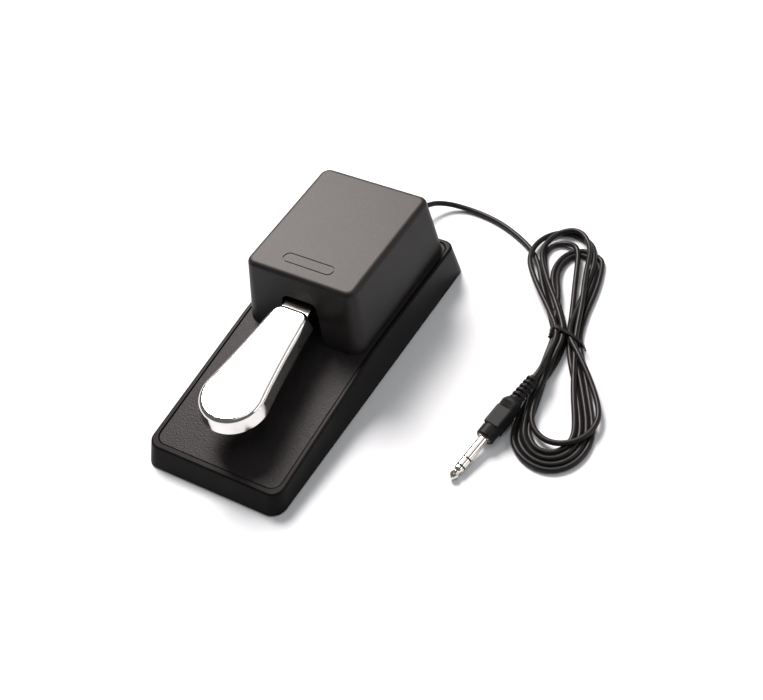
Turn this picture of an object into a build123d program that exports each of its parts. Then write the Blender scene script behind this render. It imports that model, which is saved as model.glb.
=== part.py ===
"""A piano-style sustain pedal with a half-damper sensor, its lead and its 6.35 mm jack plug.

Millimetres. The origin is the centre of the base's footprint on the floor, +Z is up,
the toe of the lever points to -Y and the lead leaves the heel at +Y.
"""

from build123d import *
import math
import os

os.makedirs("parts", exist_ok=True)

# ---- Driving dimensions: the base ----
BASE_HALF_WIDTH = 51.4
BASE_HALF_LENGTH = 117.5
BASE_CORNER = 9.2
RIM_HALF_WIDTH = 49.7
RIM_FRONT = -106.8
RIM_REAR = 111.5
RIM_CORNER = 7.6
RIM_HEIGHT = 27.3
TOE_HEIGHT = 14.8
TOE_RIM = -111.7
BEND_Y = 6.0
BEND_RADIUS = 90.0
RIM_ROUND = 1.6
RIM_LIP = 2.7
GROOVE = 0.5
PLATE_SINK = 0.4
PLATE_THICK = 2.6
DECK_THICK = 3.2
WALL = 3.0
SKIRT_START = 0.8
SOLE_THICK = 2.0
FLOOR_PLATE_THICK = 2.5
FIT_GAP = 0.15

# ---- Driving dimensions: the housing ----
HOUSING_FOOT = (44.4, -3.3, 108.6, 10.0)
HOUSING_CROWN = (40.7, 4.7, 102.1, 6.6)
HOUSING_HEIGHT = 73.3
HOUSING_WALL = 2.6
HOUSING_ROUND = 3.8
WINDOW_TOP = 56.4
WINDOW_HALF_TOP = 12.8
WINDOW_HALF_FOOT = 18.4

# ---- Driving dimensions: the lever, in its own frame about the pivot ----
PIVOT_Y = 78.0
PIVOT_Z = 46.0
REST_TILT = 4.9
TRAVEL = 6.0
BLADE_TOP = 16.6
BLADE_EDGE_DROP = 0.35
BLADE_DEPTH = 10.8
BLADE_FLARE = 1.9
BLADE_RADIUS = 20.9
BLADE_CENTRE = -153.4
BLADE_WAIST = (15.8, -117.5)
BLADE_SKIN = 2.0
BLADE_ROUND = 3.0
NECK_END = -81.8
NECK_HALF = 12.2
NECK_CORNER = 6.0
TONGUE_HALF = 9.8
TONGUE_ROOT = -92.0
TONGUE_END = -36.0
TONGUE_FLOOR = 9.5
TONGUE_TOP = 13.6
LEVER_SCREWS = (-66, -44)

# ---- Driving dimensions: the arm, the pivot and the stops ----
ARM_HALF = 10.0
ARM_SHEET = 2.5
ARM_WEB = (7.0, 9.5)
ARM_FRONT = -70.0
ARM_TAIL = 16.5
SHAFT_RADIUS = 3.0
RUN_CLEARANCE = 0.05
EAR = (12.6, 14.6)
SPRING_Y = -22.0
SPRING_RADIUS = 5.6
SPRING_WIRE = 0.7
BUMPER_Y = 22.7

# ---- Driving dimensions: the gears and the potentiometer ----
MODULE = 1.0
PINION_TEETH = 12
SECTOR_TEETH = 66
SECTOR_CUT = 3
ADDENDUM = 0.7
DEDENDUM = 1.05
BACKLASH = 0.16
PRESSURE = math.radians(20)
PINION_RADIUS = MODULE * PINION_TEETH / 2
SECTOR_RADIUS = MODULE * SECTOR_TEETH / 2
GEAR_CENTRES = PINION_RADIUS + SECTOR_RADIUS
POT_PLATE_X = 20.0

# ---- Driving dimensions: the lead, its hank and its plug ----
CORD_RADIUS = 1.85
RELIEF_EXIT = 133.0
CORD_HEIGHT = 12.0
LEAD_ROUTE = [
    (0, RELIEF_EXIT, CORD_HEIGHT),
    (0.2, 144.5, 11.6),
    (3.4, 156.2, 9.1),
    (12, 163.8, 5.5),
    (24.5, 167.3, 2.4),
    (38.5, 166.8, 1.9),
    (54, 163.8, 1.95),
    (70.5, 157.4, 1.9),
    (86.5, 148.6, 1.95),
    (98, 137, 1.9),
]
HANK_WAIST = (148.5, 88.4)
HANK_TURN = 113.8
HANK_HEIGHT = 9.2
HANK_OUTLINE = [
    (-3, -4),
    (14, -10),
    (32, -16),
    (55, -17.5),
    (80, -13),
    (98, 5),
    (95, 24),
    (66, 34.5),
    (36, 28.5),
    (14, 19.5),
    (-3, 14),
    (-34, 19),
    (-56, 22),
    (-78, 29.5),
    (-97, 31),
    (-112, 17),
    (-109, -4),
    (-92, -15.5),
    (-66, -19),
    (-34, -11.5),
]
PLUG_TIP = (131.4, -47.0, 2.6)
PLUG_AXIS = (0.165, 0.978, 0.13)
JACK_RADIUS = 3.175
JACK_LENGTH = 33.5
JACK_ROOT = 37.0
COLLAR_RADIUS = 6.1
GRIP_WIDTH = 11.2
COLLAR_LENGTH = 8.1
GRIP_LENGTH = 14.6
BAND_LENGTH = 5.8
SHOULDER_LENGTH = 3.2
BARREL_LENGTH = COLLAR_LENGTH + GRIP_LENGTH + BAND_LENGTH + SHOULDER_LENGTH
BOOT_LENGTH = 19.3
BOOT_RADIUS = 4.6
BOOT_RIBS = 6
BOOT_PITCH = 3.45
BOOT_RIB = 1.75
BOOT_LEAD = 8.0

FLOOR_SCREWS = [(x, y) for y in (-98, -10, 102) for x in (-40, 40)]
HOUSING_SCREWS = [(x, y) for y in (14, 94) for x in (-35, 35)]
BRACKET_SCREWS = [(-8, 69.5), (8, 69.5), (-11, 91), (11, 91)]
POT_SCREWS = [(27, 33.5), (27, 45)]
CLAMP_SCREWS = [(-7.5, 100), (7.5, 100)]


# ---- Small helpers ----
def plan(half_width, front, rear, corner, height):
    """A rounded rectangle lying at a height."""
    middle = (front + rear) / 2
    return Pos(0, middle, height) * RectangleRounded(2 * half_width, rear - front, corner)


def rod(radius, low, high, x=0.0, y=0.0):
    """An upright cylinder between two heights."""
    return Pos(x, y, (low + high) / 2) * Cylinder(radius, high - low)


def axle(radius, left, right, y=0.0, z=0.0):
    """A cylinder along X."""
    return Pos((left + right) / 2, y, z) * Rot(0, 90, 0) * Cylinder(radius, right - left)


def block(low, high):
    """A box between two corners."""
    middle = [(a + b) / 2 for a, b in zip(low, high)]
    return Pos(*middle) * Box(*[b - a for a, b in zip(low, high)])


def side_plate(outline, left, right):
    """An outline of (y, z) points as a plate between two places in X."""
    face = Plane.YZ * make_face(Polyline(*outline, close=True))
    return Pos(left, 0, 0) * extrude(face, right - left)


def at_rest(shape):
    """Places a shape from the pivot's own frame with the lever at rest."""
    return Pos(0, PIVOT_Y, PIVOT_Z) * Rot(REST_TILT, 0, 0) * shape


def turned(points):
    """A solid of revolution about Z from (radius, height) points."""
    return revolve(Plane.XZ * make_face(Polyline(*points, close=True)), Axis.Z)


def rim_height(y):
    """The height of the rim, which slopes down to the toe."""
    slope = (RIM_HEIGHT - TOE_HEIGHT) / (BEND_Y - TOE_RIM)
    return RIM_HEIGHT - slope * max(BEND_Y - y, 0)


def under_rim(drop):
    """Everything under the rim's surface, lowered by a drop."""
    toe, heel = -140.0, 160.0
    top = FilletPolyline(
        (toe, rim_height(toe) - drop),
        (BEND_Y, RIM_HEIGHT - drop),
        (heel, RIM_HEIGHT - drop),
        radius=BEND_RADIUS,
    )
    foot = Polyline(
        (heel, RIM_HEIGHT - drop), (heel, -20), (toe, -20), (toe, rim_height(toe) - drop)
    )
    face = Plane.YZ * make_face(top.edges() + foot.edges())
    return extrude(face, 80, both=True)


def screw(x, y, head, tip, radius, head_radius, head_height, slot=True):
    """A pan-head screw whose head's underside is at one height and its tip at another."""
    up = 1 if tip > head else -1
    low, high = sorted((head, tip))
    shank = rod(radius, low, high, x, y)
    top = head - up * head_height
    low, high = sorted((head, top))
    cap = rod(head_radius, low, high, x, y)
    if slot:
        depth = 0.45 * head_height
        for size in ((1.2 * head_radius, 0.9), (0.9, 1.2 * head_radius)):
            cap -= Pos(x, y, top + up * depth / 2) * Box(*size, depth)
    return shank + cap


def drilled(shape, places, radius, low, high):
    """A shape with upright holes at some places."""
    for x, y in places:
        shape -= rod(radius, low, high, x, y)
    return shape


def save(node, shape):
    export_step(shape, f"parts/{node}.step")


# ---- Base ----
def outer_base(inset, start):
    """The base's tapered outline, moved inwards, up to a height above the rim."""
    lower = plan(
        BASE_HALF_WIDTH - inset,
        -BASE_HALF_LENGTH + inset,
        BASE_HALF_LENGTH - inset,
        BASE_CORNER - inset,
        start,
    )
    upper = plan(
        RIM_HALF_WIDTH - inset,
        RIM_FRONT + inset,
        RIM_REAR - inset,
        RIM_CORNER - inset,
        RIM_HEIGHT,
    )
    return loft([lower, upper], ruled=True)


def rounded_rim(body, drop, radius):
    """Rounds a body's upper outline, which follows the rim's surface lowered by a drop."""
    chosen = []
    for edge in body.edges():
        middle = edge.position_at(0.5)
        across = abs(middle.X) < 1 and abs(middle.Y) < 30
        if abs(middle.Z + drop - rim_height(middle.Y)) < 0.6 and not across:
            chosen.append(edge)
    return fillet(chosen, radius)


def plate_plan(gap, low, high):
    """The recess in the rim, or with a gap, the plate that lies in it."""
    inset = RIM_LIP + gap
    face = plan(
        RIM_HALF_WIDTH - inset,
        TOE_RIM + inset + 0.6,
        RIM_REAR - inset,
        RIM_CORNER - gap,
        low,
    )
    return extrude(face, high - low)


def base_frame():
    body = rounded_rim(outer_base(0, SKIRT_START) & under_rim(0), 0, RIM_ROUND)
    pocket = plate_plan(0, 5, 40) - under_rim(PLATE_SINK + PLATE_THICK)
    roof = PLATE_SINK + PLATE_THICK + DECK_THICK
    hollow = outer_base(WALL, SKIRT_START) & under_rim(roof)
    body = body - pocket - hollow
    bosses = [rod(4.5, SOLE_THICK + FLOOR_PLATE_THICK, 30, x, y) for x, y in FLOOR_SCREWS]
    bosses += [rod(3.6, 14, 30, x, y) for x, y in BRACKET_SCREWS + POT_SCREWS]
    ribs = [
        block((-47, y - 1, 6), (47, y + 1, 30)) & outer_base(1, SKIRT_START)
        for y in (-75, -45, -22, 30)
    ]
    for piece in bosses + ribs:
        body += piece & under_rim(roof - 1)
    body = drilled(body, FLOOR_SCREWS, 1.5, 0, 13)
    body = drilled(body, HOUSING_SCREWS, 1.7, 10, 30)
    body = drilled(body, BRACKET_SCREWS + POT_SCREWS, 1.5, 16, 30)
    body = drilled(body, CLAMP_SCREWS, 1.3, 10, 30)
    body -= rod(2.6, 10, 30, 0, BUMPER_Y)
    body -= rod(4.0, 10, 30, 22, 60)
    body -= Pos(0, 113, CORD_HEIGHT) * Rot(90, 0, 0) * Cylinder(4.3, 20)
    return body


def top_plate():
    body = plate_plan(GROOVE, 5, 40) & under_rim(PLATE_SINK)
    body -= under_rim(PLATE_SINK + PLATE_THICK - 0.02)
    body = rounded_rim(body, PLATE_SINK, 0.7)
    places = HOUSING_SCREWS + BRACKET_SCREWS + POT_SCREWS
    body = drilled(body, places, 1.7, 10, 30)
    body = drilled(body, CLAMP_SCREWS, 1.3, 10, 30)
    body -= rod(2.6, 10, 30, 0, BUMPER_Y)
    body -= rod(4.0, 10, 30, 22, 60)
    return body


def floor_plate():
    inset = WALL + FIT_GAP
    face = plan(
        BASE_HALF_WIDTH - inset - 0.4,
        -BASE_HALF_LENGTH + inset + 1.8,
        BASE_HALF_LENGTH - inset - 1.0,
        BASE_CORNER - WALL,
        SOLE_THICK,
    )
    return drilled(extrude(face, FLOOR_PLATE_THICK), FLOOR_SCREWS, 1.7, 0, 10)


def rubber_sole():
    inset = WALL + FIT_GAP
    face = plan(
        BASE_HALF_WIDTH - inset - 0.4,
        -BASE_HALF_LENGTH + inset + 1.0,
        BASE_HALF_LENGTH - inset - 0.6,
        BASE_CORNER - WALL,
        0,
    )
    return drilled(extrude(face, SOLE_THICK), FLOOR_SCREWS, 4.4, -1, 5)


# ---- Housing ----
def housing_form(inset, top):
    """The housing's tapered form, moved inwards, up to a height."""
    foot_half, foot_front, foot_rear, foot_corner = HOUSING_FOOT
    half, front, rear, corner = HOUSING_CROWN
    start = rim_height(foot_front) - 4
    share = (RIM_HEIGHT - start) / (HOUSING_HEIGHT - RIM_HEIGHT)
    lower = plan(
        foot_half + (foot_half - half) * share - inset,
        foot_front - (front - foot_front) * share + inset,
        foot_rear + (foot_rear - rear) * share - inset,
        foot_corner - inset / 2,
        start,
    )
    upper = plan(half - inset, front + inset, rear - inset, corner - inset / 2, HOUSING_HEIGHT)
    form = loft([lower, upper], ruled=True)
    return form & block((-80, -40, 0), (80, 160, top))


def housing_cover():
    outer = housing_form(0, HOUSING_HEIGHT)
    outer = fillet(outer.faces().sort_by(Axis.Z)[-1].edges(), HOUSING_ROUND)
    body = outer - housing_form(HOUSING_WALL, HOUSING_HEIGHT - HOUSING_WALL)
    for x, y in HOUSING_SCREWS:
        web = block((min(x, x * 1.25), y - 1, 24), (max(x, x * 1.25), y + 1, 62))
        body += (rod(4, 24, 62, x, y) + web) & housing_form(1, 70)
    body = drilled(body, HOUSING_SCREWS, 1.5, 20, 50)
    window = make_face(
        Polyline(
            (-WINDOW_HALF_TOP, WINDOW_TOP),
            (WINDOW_HALF_TOP, WINDOW_TOP),
            (WINDOW_HALF_FOOT, 15),
            (-WINDOW_HALF_FOOT, 15),
            close=True,
        )
    )
    window = fillet(window.vertices().group_by(Axis.Y)[-1], 5.5)
    body -= extrude(Plane.XZ * window, 16, both=True)
    panel = Pos(0, 18.5, HOUSING_HEIGHT) * SlotOverall(38, 8.5)
    body -= extrude(panel, -0.5) - extrude(offset(panel, -0.9), -0.5)
    return body - under_rim(PLATE_SINK - 0.1)


# ---- Lever ----
def blade_outline(inset):
    """The blade's plan in the pivot's frame: a round toe and sides that close to the neck."""
    reach = BLADE_RADIUS - inset
    lean = math.radians(8.5)
    joint = (reach * math.cos(lean), BLADE_CENTRE + reach * math.sin(lean))
    middle = (BLADE_WAIST[0] - inset, BLADE_WAIST[1])
    neck = (NECK_HALF - inset, NECK_END - inset)
    right = ThreePointArc(joint, middle, neck)
    left = ThreePointArc(*[(-x, y) for x, y in (neck, middle, joint)])
    toe = ThreePointArc((-joint[0], joint[1]), (0, BLADE_CENTRE - reach), joint)
    end = Line(neck, (-neck[0], neck[1]))
    face = make_face([toe, right, end, left])
    return fillet(face.vertices().group_by(Axis.Y)[-1], NECK_CORNER - inset)


def pedal_lever():
    """The polished lever: a hollow, slightly flared blade and the tongue into the housing."""
    crown_radius = BLADE_RADIUS**2 / (2 * BLADE_EDGE_DROP)
    crown = Pos(0, -110, BLADE_TOP - crown_radius) * Rot(90, 0, 0) * Cylinder(crown_radius, 200)
    low = BLADE_TOP - BLADE_DEPTH
    skirt = Pos(0, 0, low) * blade_outline(-BLADE_FLARE)
    blade = loft([skirt, Pos(0, 0, BLADE_TOP + 0.1) * blade_outline(0)], ruled=True) & crown
    rolled = [e for e in blade.edges() if e.position_at(0.5).Z > BLADE_TOP - 1]
    blade = fillet(rolled, BLADE_ROUND)
    blade -= extrude(Pos(0, 0, low - 1) * blade_outline(BLADE_SKIN), BLADE_DEPTH - BLADE_SKIN - 0.4)
    roof = BLADE_TOP - BLADE_SKIN
    root = block((-TONGUE_HALF, TONGUE_ROOT, TONGUE_FLOOR), (TONGUE_HALF, NECK_END - 1, roof))
    tongue = block((-TONGUE_HALF, NECK_END - 2, TONGUE_FLOOR), (TONGUE_HALF, TONGUE_END, TONGUE_TOP))
    body = blade + root + tongue
    return drilled(body, [(0, y) for y in LEVER_SCREWS], 1.9, 0, TONGUE_TOP - 0.7)


def lever_arm():
    web = block((-ARM_HALF, ARM_FRONT, ARM_WEB[0]), (ARM_HALF, ARM_TAIL, ARM_WEB[1]))
    web = drilled(web, [(0, y) for y in LEVER_SCREWS], 2.1, 0, 20)
    profile = [
        (ARM_FRONT, ARM_WEB[1]),
        (ARM_FRONT, 4.0),
        (-48, 2.0),
        (-7.6, -4.2),
        (7.6, -4.2),
        (9.5, ARM_WEB[1]),
    ]
    arm = web
    for side in (-1, 1):
        left, right = sorted((side * ARM_HALF, side * (ARM_HALF - ARM_SHEET)))
        arm += side_plate(profile, left, right) + axle(8.6, left, right)
        arm -= axle(5.0, left, right)
    arm = arm & block((-ARM_HALF, -80, -20), (ARM_HALF, 30, ARM_WEB[1]))
    for y in (-26, -17):
        arm -= axle(1.2, ARM_HALF - ARM_SHEET - 1, ARM_HALF + 1, y, 2.5)
    return arm


def arm_screws():
    return [screw(0, y, ARM_WEB[0], TONGUE_TOP - 1, 1.85, 3.4, 2.2) for y in LEVER_SCREWS]


# ---- Gears ----
def tooth(teeth, addendum):
    """One involute tooth pointing along +X from its gear's centre."""
    pitch = MODULE * teeth / 2
    base = pitch * math.cos(PRESSURE)
    half = math.pi / (2 * teeth) - BACKLASH / (2 * pitch)
    spread = half + math.tan(PRESSURE) - PRESSURE
    root = pitch - DEDENDUM
    flank = [(root - 0.4, spread)]
    start = max(base, root)
    for step in range(6):
        radius = start + (pitch + addendum - start) * step / 5
        angle = math.acos(min(base / radius, 1))
        flank.append((radius, spread - math.tan(angle) + angle))
    right = [(r * math.cos(a), -r * math.sin(a)) for r, a in flank]
    left = [(r * math.cos(a), r * math.sin(a)) for r, a in reversed(flank)]
    return make_face(Polyline(*right, *left, close=True))


def sector_gear():
    """The toothed sector on the lever's arm, in the pivot's frame, with its teeth to -Y."""
    step = 360 / SECTOR_TEETH
    spread = math.radians(step * (SECTOR_CUT + 0.55))
    root = SECTOR_RADIUS - DEDENDUM
    edge = (root * math.cos(spread), root * math.sin(spread))
    rim = ThreePointArc((edge[0], -edge[1]), (root, 0), edge)
    heel = Polyline(edge, (14, 6), (12, 4.5), (12, -1.5), (14, -3), (edge[0], -edge[1]))
    face = make_face(rim.edges() + heel.edges())
    for number in range(-SECTOR_CUT, SECTOR_CUT + 1):
        face += Rot(0, 0, number * step) * tooth(SECTOR_TEETH, ADDENDUM)
    plate = extrude(Plane.YZ * Rot(0, 0, 180) * mirror(face, Plane.XZ), 3)
    plate = Pos(ARM_HALF, 0, 0) * plate
    for y in (-26, -17):
        plate -= axle(1.35, ARM_HALF - 1, ARM_HALF + 4, y, 2.5)
    return plate


def sector_screws():
    """Two small screws that hold the sector on the arm's flange."""
    face = ARM_HALF + 3
    return [
        axle(1.15, ARM_HALF - ARM_SHEET, face, y, 2.5) + axle(2.2, face, face + 1.2, y, 2.5)
        for y in (-26, -17)
    ]


def pinion():
    face = Circle(PINION_RADIUS - DEDENDUM)
    for number in range(PINION_TEETH):
        face += Rot(0, 0, (number + 0.5) * 360 / PINION_TEETH) * tooth(PINION_TEETH, ADDENDUM)
    gear = Pos(ARM_HALF + 0.4, 0, 0) * extrude(Plane.YZ * face, 3.4)
    hub = axle(4.6, ARM_HALF + 3.8, ARM_HALF + 6.4)
    return Pos(0, -GEAR_CENTRES, 0) * (gear + hub - axle(3.0, 0, 20))


def pot_shaft():
    body = axle(3.0, ARM_HALF + 0.6, POT_PLATE_X + 5)
    return Pos(0, -GEAR_CENTRES, 0) * (body + axle(5.5, POT_PLATE_X + 5, POT_PLATE_X + 6.5))


def pot_body():
    """The potentiometer's case, with its threaded neck and three solder lugs."""
    face = POT_PLATE_X + 1.6
    case = axle(8.2, face, face + 8) - axle(5.8, face + 1.5, face + 6.5)
    neck = axle(4.0, POT_PLATE_X - 2.8, face)
    body = case + neck - axle(3.0 + RUN_CLEARANCE, 0, face + 2)
    for z in (-3.5, 0, 3.5):
        body += block((face + 3, 6, z - 0.9), (face + 3.8, 12.5, z + 0.9)) - axle(
            5.9, face, face + 9
        )
    return Pos(0, -GEAR_CENTRES, 0) * body


def pot_nut():
    face = Plane.YZ * (RegularPolygon(6.6, 6) - Circle(4.0))
    return Pos(POT_PLATE_X - 2.6, -GEAR_CENTRES, 0) * extrude(face, 2.0)


def pot_washer():
    return Pos(0, -GEAR_CENTRES, 0) * (
        axle(6.8, POT_PLATE_X - 0.6, POT_PLATE_X) - axle(4.0, 0, 30)
    )


def deck():
    """The height of the plate's top under the housing."""
    return RIM_HEIGHT - PLATE_SINK


def pot_bracket():
    centre = at_rest(Pos(0, -GEAR_CENTRES, 0)).position
    low = deck()
    wall = block((POT_PLATE_X, 29, low), (POT_PLATE_X + 1.6, 50, 53))
    corners = wall.edges().filter_by(Axis.X).group_by(Axis.Z)[-1]
    wall = fillet(corners, 5)
    foot = block((POT_PLATE_X, 29, low), (POT_PLATE_X + 12, 50, low + 1.6))
    body = wall + foot - axle(4.0, POT_PLATE_X - 1, POT_PLATE_X + 3, centre.Y, centre.Z)
    return drilled(body, POT_SCREWS, 1.7, 20, 32)


# ---- Pivot, spring and stops ----
def pivot_bracket():
    low = deck()
    body = block((-17, 64.5, low), (17, 95.2, low + 2))
    for side in (-1, 1):
        left, right = sorted((side * EAR[0], side * EAR[1]))
        ear = block((left, PIVOT_Y - 9, low), (right, PIVOT_Y + 9, PIVOT_Z))
        ear += axle(9, left, right, PIVOT_Y, PIVOT_Z)
        body += ear - axle(SHAFT_RADIUS, left, right, PIVOT_Y, PIVOT_Z)
    body += block((-5.5, 93.6, low), (5.5, 95.2, 51.6))
    body += at_rest(block((-5.5, 10.8, 3.2), (5.5, 17.0, 4.8)))
    return drilled(body, BRACKET_SCREWS, 1.7, 20, 32)


def pivot_shaft():
    body = axle(SHAFT_RADIUS, -17, 17, PIVOT_Y, PIVOT_Z)
    for side in (-1, 1):
        left, right = sorted((side * (EAR[1] + 0.25), side * (EAR[1] + 1.05)))
        body -= axle(4, left, right, PIVOT_Y, PIVOT_Z) - axle(2.3, left, right, PIVOT_Y, PIVOT_Z)
    return body


def pivot_bushes():
    """The two flanged bushes in the arm that turn on the shaft."""
    made = []
    for side in (-1, 1):
        inner, outer = side * (ARM_HALF - ARM_SHEET - 0.5), side * ARM_HALF
        flange = side * (EAR[0] - 0.4)
        bush = axle(5.0, *sorted((inner, outer))) + axle(7.2, *sorted((outer, flange)))
        made.append(bush - axle(SHAFT_RADIUS + RUN_CLEARANCE, -20, 20))
    return made


def shaft_clips():
    """Two E-clips in the shaft's grooves."""
    made = []
    for side in (-1, 1):
        left, right = sorted((side * (EAR[1] + 0.3), side * (EAR[1] + 1.0)))
        ring = axle(5.4, left, right) - axle(2.35, left, right)
        mouth = block((left, 0, -1.9), (right, 8, 1.9))
        made.append(Pos(0, PIVOT_Y, PIVOT_Z) * (ring - mouth))
    return made


def spring_place():
    """Where the spring stands: under the arm, on the deck."""
    return at_rest(Pos(0, SPRING_Y, ARM_WEB[0])).position


def lower_spring_seat():
    low = deck()
    cup = turned(
        [(0, low), (8.4, low), (8.4, low + 4), (7.0, low + 4), (7.0, low + 2), (4.3, low + 2),
         (4.0, low + 7), (0, low + 7)]
    )
    return Pos(0, spring_place().Y, 0) * cup


def upper_spring_seat():
    high = ARM_WEB[0]
    body = turned(
        [(0, high), (7.2, high), (7.2, high - 2), (4.2, high - 2), (3.6, high - 6), (0, high - 6)]
    )
    return Pos(0, SPRING_Y, 0) * body


def spring_ends():
    """The heights of the spring's two ends at rest."""
    lean = math.sin(math.radians(REST_TILT)) * (SPRING_RADIUS + SPRING_WIRE)
    top = at_rest(Pos(0, SPRING_Y, ARM_WEB[0] - 2)).position.Z
    return deck() + 2 + 0.02, top - lean - 0.02


def return_spring():
    low, high = spring_ends()
    start, height = low + SPRING_WIRE, high - low - 2 * SPRING_WIRE
    helix = Helix(height / 6, height, SPRING_RADIUS)
    wire = sweep(Plane(origin=helix @ 0, z_dir=helix % 0) * Circle(SPRING_WIRE), path=helix)
    return Pos(0, spring_place().Y, start) * wire


def down_stop_bumper():
    """The rubber post that the arm meets at the end of its travel."""
    low, pressed = deck(), math.radians(REST_TILT + TRAVEL)
    top = PIVOT_Z - 55 * math.sin(pressed) + ARM_WEB[0] * math.cos(pressed) - 0.85
    dome = [(0, low), (6.5, low), (6.5, low + 2), (5, low + 3.5), (4.6, top - 1.5), (3.2, top), (0, top)]
    stem = rod(2.5, low - 8, low)
    return Pos(0, BUMPER_Y, 0) * (turned(dome) + stem)


def up_stop_pad():
    """The felt under the arm's tail."""
    return block((-5.5, 11.0, 4.8), (5.5, 16.4, ARM_WEB[0] - 0.06))


# ---- Screws ----
def floor_screws():
    return [screw(x, y, SOLE_THICK, 11.5, 1.45, 3.2, 1.6) for x, y in FLOOR_SCREWS]


def housing_screws():
    head = RIM_HEIGHT - PLATE_SINK - PLATE_THICK - DECK_THICK
    return [screw(x, y, head, 46, 1.45, 3.2, 2.0) for x, y in HOUSING_SCREWS]


def bracket_screws():
    return [screw(x, y, deck() + 2, 17, 1.45, 3.2, 1.9) for x, y in BRACKET_SCREWS]


def pot_screws():
    return [screw(x, y, deck() + 1.6, 17, 1.45, 3.0, 1.9) for x, y in POT_SCREWS]


def clamp_screws():
    return [screw(x, y, CORD_HEIGHT - 0.6, 24.5, 1.25, 2.4, 1.5) for x, y in CLAMP_SCREWS]


# ---- Cord ----
def along_y(radius, start, end):
    """A cylinder on the lead's line through the heel."""
    return Pos(0, (start + end) / 2, CORD_HEIGHT) * Rot(90, 0, 0) * Cylinder(radius, end - start)


def strain_relief():
    """The moulded sleeve in the heel, with its flanges and flexing rings."""
    profile = [(CORD_RADIUS + 0.03, 108.2), (6.0, 108.2), (6.0, 110.4), (4.2, 110.4),
               (4.2, 116.6), (6.0, 116.6), (6.0, 118.2), (3.9, 118.8)]
    for ring in range(4):
        start, radius = 119.6 + 3.2 * ring, 3.9 - 0.25 * ring
        profile += [(radius - 0.8, start), (radius - 0.8, start + 1), (radius, start + 1.3),
                    (radius - 0.1, start + 2.9)]
    profile += [(2.7, RELIEF_EXIT), (CORD_RADIUS + 0.03, RELIEF_EXIT)]
    face = Plane.XY * make_face(Polyline(*profile, close=True))
    return Pos(0, 0, CORD_HEIGHT) * revolve(face, Axis.Y)


def cord_inner():
    return along_y(CORD_RADIUS, 94, RELIEF_EXIT)


def cord_clamp():
    low, high = CORD_HEIGHT - 0.6, RIM_HEIGHT - PLATE_SINK - PLATE_THICK - DECK_THICK
    body = block((-10.5, 97, low), (10.5, 103, high))
    saddle = block((-4.2, 97, CORD_HEIGHT - 4.2), (4.2, 103, high))
    body = body + saddle - along_y(CORD_RADIUS + 0.02, 96, 104)
    return drilled(body, CLAMP_SCREWS, 1.3, 0, 30)


def corner_radii(points):
    """The largest smooth radius that each corner's two runs allow."""
    made = []
    for before, here, after in zip(points, points[1:], points[2:]):
        came, goes = Vector(*here) - Vector(*before), Vector(*after) - Vector(*here)
        half = math.radians(came.get_angle(goes)) / 2
        made.append(0.45 * min(came.length, goes.length) / math.tan(half))
    return made


def tube(name, points, radius):
    """A round tube along straight runs joined by tangent arcs."""
    radii = corner_radii(points)
    path = FilletPolyline(*points, radius=radii)
    section = Plane(origin=path @ 0, z_dir=path % 0) * Circle(radius)
    body = sweep(section, path=path)
    share = body.volume / (math.pi * radius**2 * path.length)
    print(name, "radii", [round(r, 1) for r in radii], "length", round(path.length, 1),
          "volume over section times length", round(share, 4))
    return body


def signal_leads():
    """Three insulated wires from the cord's end, up through the deck to the lugs."""
    pot = at_rest(Pos(0, -GEAR_CENTRES, 0)).position
    made = []
    for number in (-1, 0, 1):
        lug = at_rest(Pos(POT_PLATE_X + 5, -GEAR_CENTRES + 13.2, 3.5 * number)).position
        side = 1.3 * number
        route = [
            (0.9 * number, 94, CORD_HEIGHT),
            (0.9 * number + 1, 88, CORD_HEIGHT + 0.3),
            (15 + side, 70, CORD_HEIGHT + 0.5),
            (22 + side, 60.5, 17),
            (22.5 + side, 59.5, 27),
            (24.5 + side / 2, 57.5, lug.Z - 1),
            (lug.X, lug.Y, lug.Z),
        ]
        made.append(tube(f"signal lead {number}", route, 0.55))
    return made


def hank_place(shape):
    return Pos(*HANK_WAIST, 0) * Rot(0, 0, HANK_TURN) * shape


def tie_ring(grow):
    """The band round the hank's waist, in the hank's frame."""
    outer = block((-4.6, -4.9 - grow, 0), (-1.6, 14.9 + grow, HANK_HEIGHT + 0.9 + grow))
    inner = block((-5, -4.1 + grow, 0.8 - grow), (-1, 14.1 - grow, HANK_HEIGHT + 0.1 - grow))
    return outer - inner


def cord_hank():
    """The tied hank of cord, as the outer form of its turns."""
    outline = make_face(Spline(*HANK_OUTLINE, periodic=True))
    body = extrude(outline, HANK_HEIGHT)
    return hank_place(body - tie_ring(0.02))


def hank_tie():
    tail = block((-4.2, 14.9, 3.0), (-2.0, 19.5, 5.2))
    return hank_place(tie_ring(0) + tail)


# ---- Jack plug ----
def plug_frame():
    return Plane(origin=PLUG_TIP, z_dir=PLUG_AXIS)


def on_plug(shape):
    """Places a shape drawn with the tip at the origin and the plug along +Z."""
    return plug_frame() * shape


def plug_tip():
    """The tip contact and the rod that carries it."""
    profile = [(0, 0), (0.9, 0.15), (1.9, 1.0), (2.75, 2.4), (2.95, 3.2), (2.3, 5.4), (2.2, 6.0),
               (2.6, 6.8), (JACK_RADIUS, 7.6), (JACK_RADIUS, 9.1), (1.1, 9.1),
               (1.1, JACK_ROOT), (0, JACK_ROOT)]
    return on_plug(turned(profile))


def plug_ring():
    profile = [(1.7, 10.3), (JACK_RADIUS, 10.3), (JACK_RADIUS, 15.4), (2.2, 15.4),
               (2.2, JACK_ROOT), (1.7, JACK_ROOT)]
    return on_plug(turned(profile))


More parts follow.
